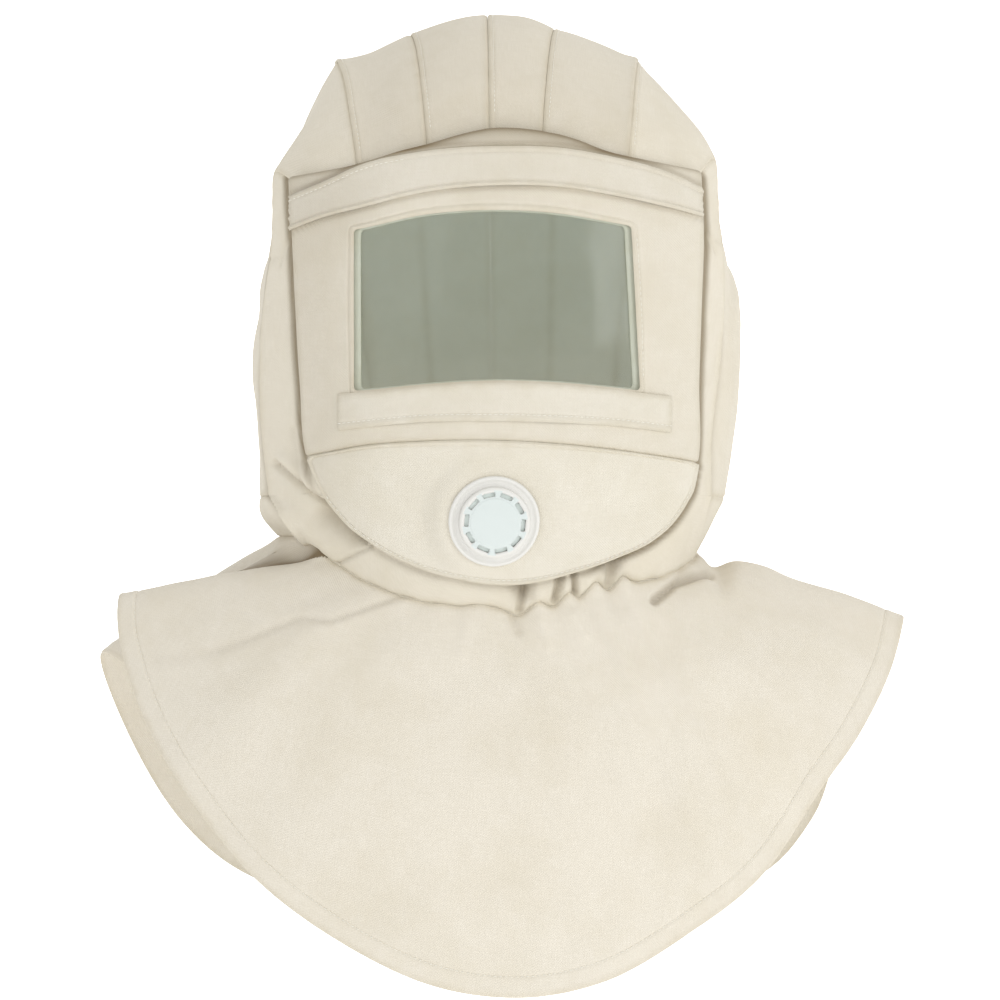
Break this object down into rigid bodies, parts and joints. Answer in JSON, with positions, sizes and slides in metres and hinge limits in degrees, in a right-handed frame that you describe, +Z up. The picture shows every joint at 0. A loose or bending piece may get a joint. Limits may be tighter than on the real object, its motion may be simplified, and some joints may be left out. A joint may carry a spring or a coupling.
{
  "type": "sandblasting hood",
  "caption": "Canvas sandblasting hood with a curved clear window, a breathing valve under it, a gathered neck band and a full shoulder cape.",
  "frame": {"origin": "inside of the crown, where the hood rests on the top of a head", "axes": "+Z up, -Y to the front where the window is, +X to the right as the hood is seen from the front"},
  "size_m": [0.5796, 0.3286, 0.6702],
  "materials": {
    "gore_1_canvas": "unbleached canvas",
    "gore_2_canvas": "unbleached canvas",
    "gore_3_canvas": "unbleached canvas",
    "gore_4_canvas": "unbleached canvas",
    "side_left_canvas": "unbleached canvas",
    "side_right_canvas": "unbleached canvas",
    "gusset_left_canvas": "unbleached canvas",
    "gusset_right_canvas": "unbleached canvas",
    "band_canvas": "unbleached canvas",
    "cape_canvas": "unbleached canvas",
    "face_canvas": "unbleached canvas, quilted layers",
    "flap_canvas": "unbleached canvas",
    "sill_canvas": "unbleached canvas",
    "chin_canvas": "unbleached canvas",
    "binding_tape": "woven tape",
    "clear_sheet": "clear flexible sheet",
    "flange_plastic": "moulded, satin",
    "cap_plastic": "moulded, satin",
    "membrane_rubber": "soft pale rubber",
    "nut_plastic": "moulded"
  },
  "bodies": {
    "root": {"crown_gore_1": "gore_1_canvas", "crown_gore_2": "gore_2_canvas", "crown_gore_3": "gore_3_canvas", "crown_gore_4": "gore_4_canvas", "side_panel_left": "side_left_canvas", "side_panel_right": "side_right_canvas", "gusset_left": "gusset_left_canvas", "gusset_right": "gusset_right_canvas", "neck_band": "band_canvas", "cape": "cape_canvas", "face_panel": "face_canvas", "brow_flap": "flap_canvas", "sill_strip": "sill_canvas", "chin_panel": "chin_canvas", "window_binding": "binding_tape", "lens": "clear_sheet", "valve_flange": "flange_plastic", "valve_cap": "cap_plastic", "valve_membrane": "membrane_rubber", "valve_nut": "nut_plastic"}
  },
  "joints": []
}
